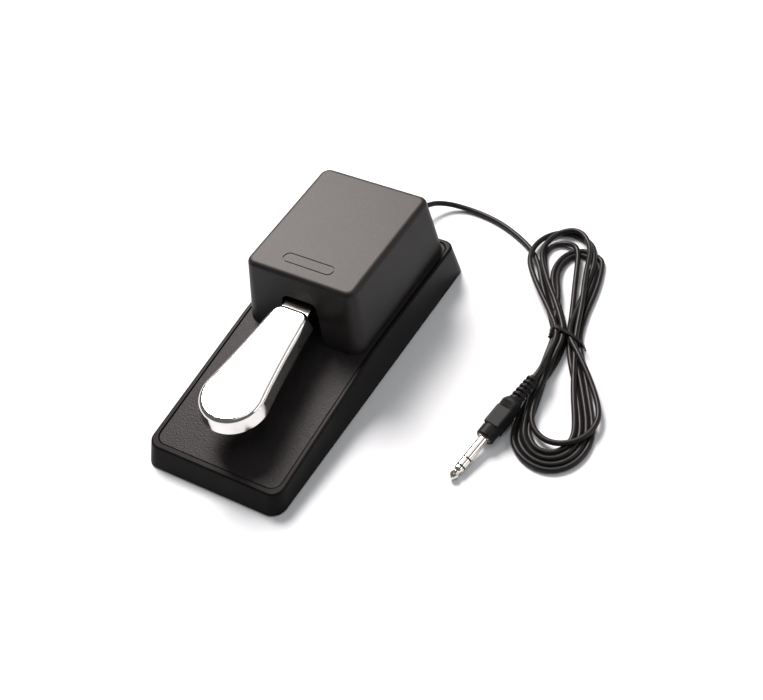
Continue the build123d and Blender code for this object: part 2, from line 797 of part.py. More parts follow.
def plug_insulators():
    first = [(1.1, 9.1), (2.95, 9.1), (2.95, 10.3), (1.7, 10.3),
             (1.7, JACK_ROOT), (1.1, JACK_ROOT)]
    second = [(2.2, 15.4), (2.95, 15.4), (2.95, 16.6), (2.6, 16.6),
              (2.6, JACK_ROOT), (2.2, JACK_ROOT)]
    return [on_plug(turned(first)), on_plug(turned(second))]


def plug_sleeve():
    profile = [(2.6, 16.6), (JACK_RADIUS, 16.6), (JACK_RADIUS, JACK_LENGTH), (4.2, JACK_LENGTH),
               (4.2, JACK_ROOT), (2.6, JACK_ROOT)]
    return on_plug(turned(profile))


def plug_barrel():
    """The moulded grip: a round collar, a flat-sided body and a knurled band."""
    start, end = JACK_LENGTH, JACK_LENGTH + BARREL_LENGTH
    grip_start = start + COLLAR_LENGTH
    band_start = grip_start + GRIP_LENGTH
    shoulder = end - SHOULDER_LENGTH
    collar = rod(COLLAR_RADIUS, start, grip_start)
    collar = chamfer(collar.faces().sort_by(Axis.Z)[0].edges(), 0.8)
    grip = extrude(Pos(0, 0, grip_start) * RectangleRounded(GRIP_WIDTH, GRIP_WIDTH, 1.4), GRIP_LENGTH)
    grip = chamfer(grip.faces().sort_by(Axis.Z)[0].edges(), 0.8)
    band = extrude(Pos(0, 0, band_start) * RectangleRounded(GRIP_WIDTH, GRIP_WIDTH, 2.0), BAND_LENGTH)
    neck = turned([(0, shoulder), (5.3, shoulder), (BOOT_RADIUS, end), (0, end)])
    body = collar + grip + band + neck
    return on_plug(body - rod(4.2, start - 1, JACK_ROOT) - rod(2.6, start, end + 1))


def plug_boot():
    """The ribbed bend relief behind the grip."""
    start = JACK_LENGTH + BARREL_LENGTH
    profile = [(CORD_RADIUS + 0.03, start - 6), (2.58, start - 6), (2.58, start)]
    profile += [(BOOT_RADIUS, start), (BOOT_RADIUS, start + BOOT_RIB),
                (BOOT_RADIUS - 1.0, start + BOOT_RIB + 0.05)]
    for rib in range(1, BOOT_RIBS):
        low, radius = start + BOOT_PITCH * rib, BOOT_RADIUS - 0.18 * rib
        profile += [(radius - 1.0, low - 0.05), (radius, low), (radius, low + BOOT_RIB),
                    (radius - 1.0, low + BOOT_RIB + 0.05)]
    end = start + BOOT_LENGTH
    profile += [(2.6, end), (CORD_RADIUS + 0.03, end)]
    return on_plug(turned(profile))


def cord_tail():
    """The last stretch of cord, from the hank to the plug's bend relief."""
    frame = plug_frame()
    boot_end = JACK_LENGTH + BARREL_LENGTH + BOOT_LENGTH
    start = frame.from_local_coords(Vector(0, 0, boot_end))
    bend = frame.from_local_coords(Vector(0, 0, boot_end + BOOT_LEAD))
    route = [tuple(start), tuple(bend), (146.6, 51.6, 12.9), (143.5, 60.5, 9.3)]
    return tube("cord tail", route, CORD_RADIUS)


def plug_cord_end():
    """The cord inside the plug's bend relief."""
    start = JACK_LENGTH + BARREL_LENGTH - 6
    return on_plug(rod(CORD_RADIUS, start, JACK_LENGTH + BARREL_LENGTH + BOOT_LENGTH))


def group(solids):
    """Several separate solids in one node."""
    return Compound(children=list(solids))


NODES = {
    "base_frame": base_frame(),
    "top_plate": top_plate(),
    "floor_plate": floor_plate(),
    "rubber_sole": rubber_sole(),
    "floor_screws": group(floor_screws()),
    "housing_cover": housing_cover(),
    "housing_screws": group(housing_screws()),
    "pedal_lever": at_rest(pedal_lever()),
    "lever_arm": at_rest(lever_arm()),
    "arm_screws": at_rest(group(arm_screws())),
    "pivot_bushes": at_rest(group(pivot_bushes())),
    "pivot_bracket": pivot_bracket(),
    "bracket_screws": group(bracket_screws()),
    "pivot_shaft": pivot_shaft(),
    "shaft_clips": group(shaft_clips()),
    "lower_spring_seat": lower_spring_seat(),
    "upper_spring_seat": at_rest(upper_spring_seat()),
    "return_spring": return_spring(),
    "down_stop_bumper": down_stop_bumper(),
    "up_stop_pad": at_rest(up_stop_pad()),
    "sector_gear": at_rest(sector_gear()),
    "sector_screws": at_rest(group(sector_screws())),
    "pinion": at_rest(pinion()),
    "pot_shaft": at_rest(pot_shaft()),
    "pot_body": at_rest(pot_body()),
    "pot_nut": at_rest(pot_nut()),
    "pot_washer": at_rest(pot_washer()),
    "pot_bracket": pot_bracket(),
    "pot_screws": group(pot_screws()),
    "signal_leads": group(signal_leads()),
    "cord_clamp": cord_clamp(),
    "clamp_screws": group(clamp_screws()),
    "strain_relief": strain_relief(),
    "cord_inner": cord_inner(),
    "cord_lead": tube("cord lead", LEAD_ROUTE, CORD_RADIUS),
    "cord_hank": cord_hank(),
    "hank_tie": hank_tie(),
    "cord_tail": cord_tail(),
    "plug_cord_end": plug_cord_end(),
    "plug_boot": plug_boot(),
    "plug_barrel": plug_barrel(),
    "plug_sleeve": plug_sleeve(),
    "plug_ring": plug_ring(),
    "plug_tip": plug_tip(),
    "plug_insulators": group(plug_insulators()),
}

for node, shape in NODES.items():
    save(node, shape)
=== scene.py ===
"""The looks of a piano-style sustain pedal with its lead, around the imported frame.

Metres, in the frame's own axes: +Z is up, the toe of the lever points to -Y and the lead
leaves the heel at +Y.
"""

import math

import bmesh
import bpy
import numpy as np
from mathutils import Matrix, Vector


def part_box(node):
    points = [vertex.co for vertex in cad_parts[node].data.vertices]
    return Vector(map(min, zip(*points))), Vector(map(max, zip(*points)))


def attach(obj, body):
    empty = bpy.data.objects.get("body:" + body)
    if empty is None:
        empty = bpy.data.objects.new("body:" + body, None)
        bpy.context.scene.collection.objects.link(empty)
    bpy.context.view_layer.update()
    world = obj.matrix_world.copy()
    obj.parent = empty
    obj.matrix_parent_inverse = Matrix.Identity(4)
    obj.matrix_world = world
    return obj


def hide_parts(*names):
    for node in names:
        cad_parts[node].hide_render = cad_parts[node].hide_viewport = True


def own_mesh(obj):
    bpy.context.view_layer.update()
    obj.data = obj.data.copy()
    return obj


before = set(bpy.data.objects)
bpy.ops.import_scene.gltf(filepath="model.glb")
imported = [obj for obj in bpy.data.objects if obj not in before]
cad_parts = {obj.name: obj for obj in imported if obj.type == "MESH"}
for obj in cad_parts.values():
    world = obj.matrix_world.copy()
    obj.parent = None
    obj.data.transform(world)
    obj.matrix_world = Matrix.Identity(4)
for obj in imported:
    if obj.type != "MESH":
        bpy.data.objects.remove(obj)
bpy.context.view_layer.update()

# ---- View: the camera's place and lens ----
VIEW_TARGET = Vector((0.03746, 0.02718, 0.0))
VIEW_DISTANCE = 0.946
VIEW_AZIMUTH = math.radians(39.26)
VIEW_ELEVATION = math.radians(47.30)
VIEW_ROLL = math.radians(-11.28)
LENS_MM = 67.76
SENSOR_MM = 36.0

# ---- The lead: its route, and the hank that its length is tied in ----
CORD_RADIUS = 0.00185
LEAD_ROUTE = [
    (0, 0.133, 0.012),
    (0.0002, 0.1445, 0.0116),
    (0.0034, 0.1562, 0.0091),
    (0.0120, 0.1638, 0.0055),
    (0.0245, 0.1673, 0.0024),
    (0.0385, 0.1668, 0.0019),
    (0.0540, 0.1638, 0.00195),
    (0.0705, 0.1574, 0.0019),
    (0.0865, 0.1486, 0.00195),
    (0.0980, 0.1370, 0.0019),
]
HANK_WAIST = (0.1485, 0.0884)
HANK_TURN = math.radians(113.8)

# Places in the hank's own plan are (along, across): along is towards its upper lobe.
# The lead comes to the tie over the floor through these.
STEM_IN = [(0.048, 0.0215), (0.032, 0.0165), (0.015, 0.0125)]
WAIST_ALONG = -0.003
WAIST_START = -0.001
LANE = 0.00385
LAYER = 0.0032
# The lane and layer of each pass through the tie, on the two sides of the hank.
NEAR_PASSES = [(3.0, 0), (2.0, 0), (3.5, 1), (2.5, 1), (2.0, 2), (3.0, 2)]
FAR_PASSES = [(0.0, 0), (1.0, 0), (1.5, 1), (0.5, 1), (1.0, 2)]
# Each half turn: its widest place going out, its end, its widest place coming back and
# how high it lies before it settles. The loose turns differ, and fan out from the tie.
LOWER_HALVES = [
    ((-0.083, 0.0322), (-0.1088, 0.0105), (-0.079, -0.0122), 0.0),
    ((-0.081, 0.0310), (-0.1045, 0.0110), (-0.077, -0.0102), 0.0012),
    ((-0.079, 0.0297), (-0.1000, 0.0120), (-0.077, -0.0060), 0.0024),
    ((-0.075, 0.0272), (-0.0952, 0.0125), (-0.076, -0.0025), 0.0036),
    ((-0.068, 0.0250), (-0.0908, 0.0050), (-0.066, -0.0168), 0.0060),
]
UPPER_HALVES = [
    ((0.0655, -0.0146), (0.0778, -0.0030), (0.048, 0.0172), 0.0008),
    ((0.0595, -0.0120), (0.0745, 0.0012), (0.050, 0.0146), 0.0016),
    ((0.0715, 0.0005), (0.0850, 0.0120), (0.0725, 0.0236), 0.0036),
    ((0.0740, -0.0080), (0.0952, 0.0065), (0.070, 0.0245), 0.0062),
    ((0.0640, -0.0110), (0.0955, 0.0115), (0.066, 0.0330), 0.0040),
]
# The spline cuts inside its points, so those of the lobes lie a little further out.
SWELL = 1.035
# A stem's points: the share of the way out, and of the way across.
STEM_SHARES = ((0.30, 0.32), (0.65, 0.73))
# A lobe's quarter: the degrees from its widest place at which it has a point.
ARC_ANGLES = (0, 30, 60)
# The cord leaves the tie for the plug over the turns, through (along, across, height).
STEM_OUT = [(-0.020, 0.0150, 0.0085), (-0.034, 0.0185, 0.0125)]

# ---- How the turns settle ----
SETTLE_ROUNDS = 300
PLACES_PER_POINT = 8
# In each round a point sinks this far, loses this share of its kink and goes this share of
# its way back over its own place on the plan. Touching turns push each other apart.
SINK = 0.00006
STIFFNESS = 0.12
HOMING = 0.03
PUSH = 2.2
# Turns touch at TOUCH. Pairs that may touch are looked for every few rounds, within so many
# times that distance, and lie more than so many places apart along the cord.
TOUCH = 2.02 * CORD_RADIUS
SEARCH_REACH = 1.6
SEARCH_EVERY = 5
SEARCH_SKIP = 6

# ---- The plug: where its tip lies, and where the cord ends inside its bend relief ----
PLUG_TIP = Vector((0.1314, -0.0470, 0.0026))
PLUG_AXIS = Vector((0.165, 0.978, 0.13)).normalized()
PLUG_LENGTH = 0.0845
BOOT_LEAD = 0.008
# The grip's stations: place along the plug, radius and squareness, where 2 is round. Pairs
# close together keep the shading flat up to an edge.
GRIP_FORM = [
    (0.03350, 0.0049, 2),
    (0.03352, 0.0053, 2),
    (0.03430, 0.0060, 2),
    (0.04060, 0.0061, 2),
    (0.04075, 0.0058, 2),
    (0.04150, 0.0058, 2),
    (0.04165, 0.0052, 6),
    (0.04230, 0.0056, 12),
    (0.04260, 0.0056, 12),
    (0.05570, 0.0056, 12),
    (0.05600, 0.0056, 12),
    (0.05620, 0.0055, 8),
    (0.05630, 0.0053, 7),
    (0.06180, 0.0055, 6),
    (0.06210, 0.0055, 5),
    (0.06440, 0.0050, 3),
    (0.06520, 0.0045, 2),
]
KNURL = (0.0565, 0.0617)
KNURL_RINGS = 48
KNURL_DEPTH = 0.00035
# The share of that depth that lies below the grip's own surface.
KNURL_SINK = 0.3
KNURL_ROWS = 26
KNURL_PITCH = 0.0017
GRIP_SIDES = 8 * KNURL_ROWS
# The bend relief: rib and core radii go from the first value to the second along it.
BOOT_START = 0.0652
BOOT_PITCH = 0.00345
BOOT_RIBS = 6
BOOT_RIB = 0.00175
BOOT_RADII = (0.0046, 0.0037)
BOOT_CORE = (0.0030, 0.0025)
BOOT_WEB = math.radians(32)
BOOT_WEB_SIDE = math.radians(15)
BOOT_WEB_SINK = 0.0004
BOOT_EDGE = 0.00025
BOOT_EDGE_SINK = 0.00022
# How far a rib's rings lie inside each of its ends, and a gap's rings inside its own.
RIB_STEPS = (0.00001, 0.00012, BOOT_EDGE)
GAP_STEP = 0.00002
BOOT_SIDES = 96

# ---- The return spring ----
SPRING_WIRE = 0.0007
SPRING_TURNS = 7
SPRING_STEPS = 20
# How nearly the end turns close: 0 is an even pitch and 1 is flat.
SPRING_CLOSING = 0.75

# ---- The tie round the hank: its slanting plane, and its loose ends (along, across, height) ----
TIE_ALONG = -0.0065
TIE_SLANT = 0.55
TIE_RADIUS = 0.0006
# It starts at a share of a turn, takes its windings in steps and goes on for a few more, and
# it shifts from one side of the plane to the other as it goes.
TIE_WINDINGS = 2
TIE_STEPS = 36
TIE_MORE_STEPS = 17
TIE_START = 0.06
TIE_SPREAD = 0.0008
# Half the thickness and half the width of the slice of the bundle that it is drawn round.
TIE_SLICE = 0.0011
TIE_REACH = 0.03
# The knot's two wires: their steps, their turns and how far they stand off its middle.
KNOT_STEPS = 23
KNOT_TURNS = 2.2
KNOT_OFFSET = 1.05 * TIE_RADIUS
TIE_KNOT = [(0.0004, 0.0138, 0.0098), (-0.0030, 0.0152, 0.0088), (-0.0062, 0.0162, 0.0068)]
TIE_TAIL = [(-0.0078, -0.0042, 0.0052), (-0.0118, -0.0062, 0.0046), (-0.0158, -0.0072, 0.0052)]


# ---- Cord ----
def in_hank(along, across, height):
    """A place in the hank's own plan, in the row frame."""
    c, s = math.cos(HANK_TURN), math.sin(HANK_TURN)
    x = HANK_WAIST[0] + along * c - across * s
    y = HANK_WAIST[1] + along * s + across * c
    return (x, y, height)


def waist_place(lane, layer):
    """Where a pass of the cord goes through the tie."""
    return (WAIST_ALONG, WAIST_START + LANE * lane, CORD_RADIUS + LAYER * layer)


def half_turn(first, out, end, back, lift, last):
    """The points of half a turn, from the tie round the lobe and back to the tie."""
    made = [(out[0] * a, first[1] + (out[1] - first[1]) * b) for a, b in STEM_SHARES]
    angles = [math.radians(angle) for angle in ARC_ANGLES]
    for side, order in ((out, angles), (back, reversed(angles))):
        if side is back:
            made.append((out[0] + SWELL * (end[0] - out[0]), end[1]))
        for angle in order:
            along = side[0] + SWELL * (end[0] - side[0]) * math.sin(angle)
            made.append((along, end[1] + SWELL * (side[1] - end[1]) * math.cos(angle)))
    shares = reversed(STEM_SHARES)
    made += [(back[0] * a, last[1] + (back[1] - last[1]) * b) for a, b in shares]
    return [(along, across, CORD_RADIUS + lift) for along, across in made]


def hank_route():
    """The hank's turns, from the end of the lead to the start of the tail."""
    near = [waist_place(*place) for place in NEAR_PASSES]
    far = [waist_place(*place) for place in FAR_PASSES]
    made = [(along, across, CORD_RADIUS) for along, across in STEM_IN] + [near[0]]
    for turn, (lower, upper) in enumerate(zip(LOWER_HALVES, UPPER_HALVES)):
        made += half_turn(near[turn], *lower, far[turn]) + [far[turn]]
        made += half_turn(far[turn], *upper, near[turn + 1]) + [near[turn + 1]]
    return [in_hank(*place) for place in made]


def spline_basis(count, steps):
    """The weights that turn a quadratic spline's points into places along it."""
    rows = np.zeros(((count - 2) * steps, count))
    for row in range(len(rows)):
        span, share = row // steps, (row % steps) / steps
        rows[row, span] = 0.5 * (1 - share) ** 2
        rows[row, span + 1] = 0.5 + share - share * share
        rows[row, span + 2] = 0.5 * share * share
    return rows


def settled(points, loose):
    """Lets the loose points sink under the cord's weight until its turns lie on each other."""
    here = np.array(points, float)
    home = here.copy()
    basis = spline_basis(len(here), PLACES_PER_POINT)
    reach = basis.sum(0)[:, None] + 1e-9
    order = np.arange(len(basis))
    for turn in range(SETTLE_ROUNDS):
        line = basis @ here
        if turn % SEARCH_EVERY == 0:
            gaps = np.linalg.norm(line[:, None] - line[None], axis=2)
            near = (gaps < SEARCH_REACH * TOUCH) & (order[None] - order[:, None] > SEARCH_SKIP)
            one, other = np.nonzero(near)
        apart = line[one] - line[other]
        gap = np.linalg.norm(apart, axis=1)
        hit = gap < TOUCH
        push = apart[hit] * (0.5 * (TOUCH - gap[hit]) / np.maximum(gap[hit], 1e-6))[:, None]
        moved, hits = np.zeros_like(line), np.zeros(len(line))
        for places, sign in ((one[hit], 1), (other[hit], -1)):
            np.add.at(moved, places, sign * push)
            np.add.at(hits, places, 1)
        moved /= np.maximum(hits, 1)[:, None]
        here[loose] += (PUSH * (basis.T @ moved) / reach)[loose]
        here[loose, 2] -= SINK
        level = 0.5 * (here[:-2, 2] + here[2:, 2]) - here[1:-1, 2]
        here[1:-1, 2] += STIFFNESS * level * loose[1:-1]
        here[loose, :2] += HOMING * (home[loose, :2] - here[loose, :2])
        here[loose, 2] = np.maximum(here[loose, 2], CORD_RADIUS)
    return here


def add_spline(data, points):
    """Adds an open quadratic NURBS spline with those control points to a curve."""
    spline = data.splines.new("NURBS")
    spline.points.add(len(points) - 1)
    for point, place in zip(spline.points, points):
        point.co = (*place, 1.0)
    spline.order_u = 3
    spline.use_endpoint_u = True
    return spline


def spline_object(name, points, radius):
    """A round cord along a smooth NURBS spline."""
    data = bpy.data.curves.new(name, "CURVE")
    data.dimensions = "3D"
    spline = add_spline(data, points)
    spline.resolution_u = 8
    data.bevel_depth = radius
    data.bevel_resolution = 5
    data.use_fill_caps = True
    made = bpy.data.objects.new(name, data)
    bpy.context.scene.collection.objects.link(made)
    return made


def cord_route():
    """The whole lead: the free stretch, the settled hank and the tail to the plug."""
    hank = hank_route()
    boot_end = PLUG_TIP + PLUG_AXIS * PLUG_LENGTH
    tail = [in_hank(*place) for place in STEM_OUT]
    tail += [tuple(boot_end + PLUG_AXIS * BOOT_LEAD), tuple(boot_end)]
    route = LEAD_ROUTE + hank + tail
    loose = np.zeros(len(route), bool)
    loose[len(LEAD_ROUTE) : len(LEAD_ROUTE) + len(hank)] = True
    return settled(route, loose)


# ---- Materials ----
# The stretch of the noise over which a value goes from its low end to its high one.
NOISE_START = 0.3
NOISE_END = 0.7
# Faces that meet at more than this keep a hard edge.
SHARP_ANGLE = math.radians(32)


def new_look(name, colour, roughness, metallic=0.0, **sockets):
    """A material with its Principled shader's own sockets set."""
    material = bpy.data.materials.new(name)
    material.use_nodes = True
    shader = material.node_tree.nodes["Principled BSDF"]
    shader.inputs["Base Color"].default_value = (*colour, 1.0)
    shader.inputs["Roughness"].default_value = roughness
    shader.inputs["Metallic"].default_value = metallic
    for socket, value in sockets.items():
        shader.inputs[socket.replace("_", " ")].default_value = value
    return material


def add(material, kind, **settings):
    """Adds a node and sets its properties or inputs."""
    node = material.node_tree.nodes.new(kind)
    for key, value in settings.items():
        if hasattr(node, key):
            setattr(node, key, value)
        else:
            node.inputs[key.replace("_", " ")].default_value = value
    return node


def join(material, out, into):
    """Links one node's output to another's input."""
    material.node_tree.links.new(out, into)


def noise(material, scale, detail):
    """Noise over the object's own places, with a scale in cells to the metre."""
    place = add(material, "ShaderNodeTexCoord")
    node = add(material, "ShaderNodeTexNoise", Scale=scale, Detail=detail)
    join(material, place.outputs["Object"], node.inputs["Vector"])
    return node.outputs["Fac"]


def bumped(material, height, strength, distance):
    """Gives the shader a bump from a height."""
    shader = material.node_tree.nodes["Principled BSDF"]
    node = add(material, "ShaderNodeBump", Strength=strength, Distance=distance)
    join(material, height, node.inputs["Height"])
    if shader.inputs["Normal"].is_linked:
        join(material, shader.inputs["Normal"].links[0].from_socket, node.inputs["Normal"])
    join(material, node.outputs["Normal"], shader.inputs["Normal"])


def ranged(material, factor, socket, low, high):
    """Drives a socket of the shader between two values."""
    shader = material.node_tree.nodes["Principled BSDF"]
    node = add(material, "ShaderNodeMapRange")
    node.inputs["From Min"].default_value = NOISE_START
    node.inputs["From Max"].default_value = NOISE_END
    node.inputs["To Min"].default_value = low
    node.inputs["To Max"].default_value = high
    join(material, factor, node.inputs["Value"])
    join(material, node.outputs["Result"], shader.inputs[socket])


def mottled(material, factor, dark, light):
    """Drives the base colour between two colours."""
    shader = material.node_tree.nodes["Principled BSDF"]
    node = add(material, "ShaderNodeValToRGB")
    node.color_ramp.elements[0].position = NOISE_START
    node.color_ramp.elements[1].position = NOISE_END
    node.color_ramp.elements[0].color = (*dark, 1.0)
    node.color_ramp.elements[1].color = (*light, 1.0)
    join(material, factor, node.inputs["Fac"])
    join(material, node.outputs["Color"], shader.inputs["Base Color"])


def moulding(name, dark, light, roughness, grain, depth, gloss):
    """Moulded plastic with a fine texture."""
    made = new_look(name, dark, roughness, Specular_IOR_Level=gloss)
    mottled(made, noise(made, scale=60, detail=4), dark, light)
    uneven = noise(made, scale=900, detail=2)
    ranged(made, uneven, "Roughness", low=roughness - 0.02, high=roughness + 0.03)
    bumped(made, noise(made, scale=grain, detail=2), strength=0.4, distance=depth)
    return made


def leather_grain(material, scale, depth):
    """Small raised cells with creases between them."""
    place = add(material, "ShaderNodeTexCoord")
    cells = add(material, "ShaderNodeTexVoronoi", Scale=scale, Randomness=1.0)
    cells.feature = "SMOOTH_F1"
    join(material, place.outputs["Object"], cells.inputs["Vector"])
    bumped(material, cells.outputs["Distance"], strength=0.7, distance=depth)


def metal(name, colour, roughness, spread):
    """Plain or plated metal with a faintly uneven finish."""
    made = new_look(name, colour, roughness, metallic=1.0)
    dull = tuple(0.9 * value for value in colour)
    mottled(made, noise(made, scale=120, detail=4), dull, colour)
    uneven = noise(made, scale=500, detail=3)
    ranged(made, uneven, "Roughness", low=roughness, high=roughness + spread)
    return made


def soft(name, dark, light, roughness, depth, gloss):
    """Rubber, felt, a flexible jacket or a soft moulding."""
    made = new_look(name, dark, roughness, Specular_IOR_Level=gloss)
    mottled(made, noise(made, scale=200, detail=3), dark, light)
    bumped(made, noise(made, scale=1500, detail=2), strength=0.3, distance=depth)
    return made


# Dark and light colour, roughness, grain to the metre, its depth, and gloss.
MOULDINGS = {
    "satin_black_moulding": ((0.005, 0.0043, 0.0041), (0.007, 0.0062, 0.0058), 0.40, 3000, 0.00003, 0.08),
    "grained_black_moulding": ((0.015, 0.014, 0.014), (0.022, 0.020, 0.020), 0.50, 900, 0.0001, 0.16),
    "matte_black_moulding": ((0.009, 0.0075, 0.007), (0.012, 0.0102, 0.0096), 0.50, 1500, 0.00012, 0.32),
}
# Colour, roughness and how much rougher it gets in places.
METALS = {
    "blackened_steel": ((0.05, 0.05, 0.055), 0.40, 0.06),
    "zinc_screws": ((0.62, 0.62, 0.60), 0.25, 0.06),
    "chrome_plate": ((0.83, 0.81, 0.79), 0.12, 0.003),
    "plated_steel": ((0.55, 0.55, 0.53), 0.35, 0.06),
    "ground_steel": ((0.66, 0.66, 0.66), 0.22, 0.06),
    "spring_steel": ((0.45, 0.45, 0.46), 0.30, 0.06),
    "bronze": ((0.62, 0.42, 0.20), 0.40, 0.06),
    "pot_case": ((0.30, 0.31, 0.33), 0.35, 0.06),
    "nickel_plate": ((0.80, 0.77, 0.73), 0.12, 0.04),
}
# Dark and light colour, roughness, the depth of the texture, and gloss.
SOFTS = {
    "black_rubber": ((0.015, 0.015, 0.015), (0.03, 0.03, 0.03), 0.75, 0.0001, 0.20),
    "nylon": ((0.74, 0.72, 0.66), (0.84, 0.82, 0.76), 0.45, 0.00005, 0.20),
    "felt": ((0.08, 0.18, 0.10), (0.16, 0.32, 0.18), 0.95, 0.0004, 0.20),
    "wire_insulation": ((0.4, 0.04, 0.03), (0.55, 0.06, 0.05), 0.45, 0.00004, 0.20),
    "cord_rubber": ((0.014, 0.014, 0.014), (0.024, 0.024, 0.024), 0.50, 0.00006, 0.20),
    "cord_jacket": ((0.011, 0.010, 0.010), (0.016, 0.015, 0.0145), 0.34, 0.00004, 0.16),
    "tie_plastic": ((0.010, 0.010, 0.010), (0.016, 0.016, 0.016), 0.40, 0.00004, 0.20),
    "plug_plastic": ((0.010, 0.010, 0.010), (0.015, 0.015, 0.015), 0.46, 0.00005, 0.11),
    "plug_insulation": ((0.02, 0.017, 0.014), (0.03, 0.026, 0.02), 0.20, 0.00002, 0.20),
}
LOOKS = {
    name: kind(name, *values)
    for kind, table in ((moulding, MOULDINGS), (metal, METALS), (soft, SOFTS))
    for name, values in table.items()
}
leather_grain(LOOKS["grained_black_moulding"], scale=1050, depth=0.00026)


def dress(piece, slot):
    """Gives a piece the look of one of the record's material slots."""
    piece.data.materials.clear()
    piece.data.materials.append(LOOKS[slot])
    return piece


def dress_cad_nodes():
    """Puts the procedural looks in the CAD nodes' material slots."""
    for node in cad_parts.values():
        for place in node.material_slots:
            name = place.material.name.split(".")[0]
            place.material = LOOKS[name]


# ---- Pieces ----
def finished(name, shape, slot):
    """A dressed piece from a closed bmesh, smooth but for its sharp edges."""
    bmesh.ops.recalc_face_normals(shape, faces=shape.faces)
    mesh = bpy.data.meshes.new(name)
    shape.to_mesh(mesh)
    shape.free()
    mesh.shade_smooth()
    mesh.set_sharp_from_angle(angle=SHARP_ANGLE)
    piece = bpy.data.objects.new(name, mesh)
    bpy.context.scene.collection.objects.link(piece)
    return dress(piece, slot)


def about_plug(name, stations, around, reach, slot):
    """A closed form about the plug's axis whose radius changes along it and around it."""
    across = PLUG_AXIS.cross(Vector((0, 0, 1))).normalized()
    rise = across.cross(PLUG_AXIS)
    shape = bmesh.new()
    rings = []
    for station in stations:
        ring = []
        for step in range(around):
            angle = math.tau * step / around
            out = across * math.cos(angle) + rise * math.sin(angle)
            place = PLUG_TIP + PLUG_AXIS * station + out * reach(station, angle)
            ring.append(shape.verts.new(place))
        rings.append(ring)
    for low, high in zip(rings, rings[1:]):
        for step in range(around):
            after = (step + 1) % around
            shape.faces.new((low[step], low[after], high[after], high[step]))
    shape.faces.new(rings[0])
    shape.faces.new(rings[-1])
    return finished(name, shape, slot)


def grip_reach(station, angle):
    """The moulded grip: a collar, a flat-sided body and a knurled band."""
    places, radii, powers = zip(*GRIP_FORM)
    radius = np.interp(station, places, radii)
    power = np.interp(station, places, powers)
    c, s = abs(math.cos(angle)) / radius, abs(math.sin(angle)) / radius
    reach = (c**power + s**power) ** (-1 / power)
    if KNURL[0] <= station <= KNURL[1]:
        turn = math.tau * station / KNURL_PITCH
        cut = abs(math.sin(KNURL_ROWS * angle / 2 + turn / 2))
        cross = abs(math.sin(KNURL_ROWS * angle / 2 - turn / 2))
        reach += KNURL_DEPTH * (min(cut, cross) - KNURL_SINK)
    return reach


def make_plug_grip():
    """The moulded grip, which stands for the CAD barrel."""
    knurled = list(np.linspace(*KNURL, KNURL_RINGS))
    plain = [place for place, *_ in GRIP_FORM]
    stations = sorted(plain + knurled)
    grip = about_plug("plug_grip", stations, GRIP_SIDES, grip_reach, "plug_plastic")
    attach(grip, "base")
    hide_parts("plug_barrel")
    return grip


def boot_reach(station, angle):
    """The bend relief: ribs round a core, joined by a web on each side of every gap."""
    along = station - BOOT_START
    share = along / (BOOT_RIBS * BOOT_PITCH)
    rib = BOOT_RADII[0] + (BOOT_RADII[1] - BOOT_RADII[0]) * share
    core = BOOT_CORE[0] + (BOOT_CORE[1] - BOOT_CORE[0]) * share
    number, within = divmod(along, BOOT_PITCH)
    if number >= BOOT_RIBS or (number == BOOT_RIBS - 1 and within > BOOT_RIB):
        return core
    if within <= BOOT_RIB:
        edge = min(within, BOOT_RIB - within)
        return rib - BOOT_EDGE_SINK * max(0, 1 - edge / BOOT_EDGE)
    lean = abs((angle - BOOT_WEB_SIDE + math.pi / 2) % math.pi - math.pi / 2)
    return rib - BOOT_WEB_SINK if lean < BOOT_WEB else core


def make_plug_boot():
    """The ribbed bend relief, which keeps the last of its core round the cord."""
    steps = list(RIB_STEPS)
    steps += [BOOT_RIB - step for step in reversed(RIB_STEPS)]
    steps += [BOOT_RIB + GAP_STEP, BOOT_PITCH - GAP_STEP]
    stations = [BOOT_START + BOOT_PITCH * rib + step for rib in range(BOOT_RIBS) for step in steps]
    boot = about_plug("plug_bend_relief", stations, BOOT_SIDES, boot_reach, "plug_plastic")
    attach(boot, "base")
    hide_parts("plug_boot")
    return boot


def in_hank_plan(line):
    """Places along the cord in the hank's own plan."""
    c, s = math.cos(HANK_TURN), math.sin(HANK_TURN)
    x, y = line[:, 0] - HANK_WAIST[0], line[:, 1] - HANK_WAIST[1]
    return np.column_stack((x * c + y * s, y * c - x * s, line[:, 2]))


def tie_winding(places, share):
    """A place on the drawn-tight tie, a share of one turn round the bundle's cut places."""
    middle = (places.min(0) + places.max(0)) / 2
    turns = np.linspace(0, math.tau, 90, endpoint=False)
    facing = np.column_stack((np.cos(turns), np.sin(turns)))
    support = ((places - middle) @ facing.T).max(0) + CORD_RADIUS + TIE_RADIUS
    lean = np.cos(turns - math.tau * share)
    reach = (support[lean > 0.25] / lean[lean > 0.25]).min()
    across = middle[0] + reach * math.cos(math.tau * share)
    height = middle[1] + reach * math.sin(math.tau * share)
    return across, max(height, TIE_RADIUS)


def knot_wire(sign):
    """One of the knot's two wires, which turn about a bowed line."""
    start, bow, end = (Vector(place) for place in TIE_KNOT)
    side = (end - start).cross(Vector((0, 0, 1))).normalized() * KNOT_OFFSET
    rise = Vector((0, 0, KNOT_OFFSET))
    wire = []
    for step in range(KNOT_STEPS + 1):
        share = step / KNOT_STEPS
        middle = start * (1 - share) ** 2 + bow * 2 * share * (1 - share) + end * share**2
        turn = math.tau * KNOT_TURNS * share
        wire.append(middle + sign * (side * math.cos(turn) + rise * math.sin(turn)))
    return wire


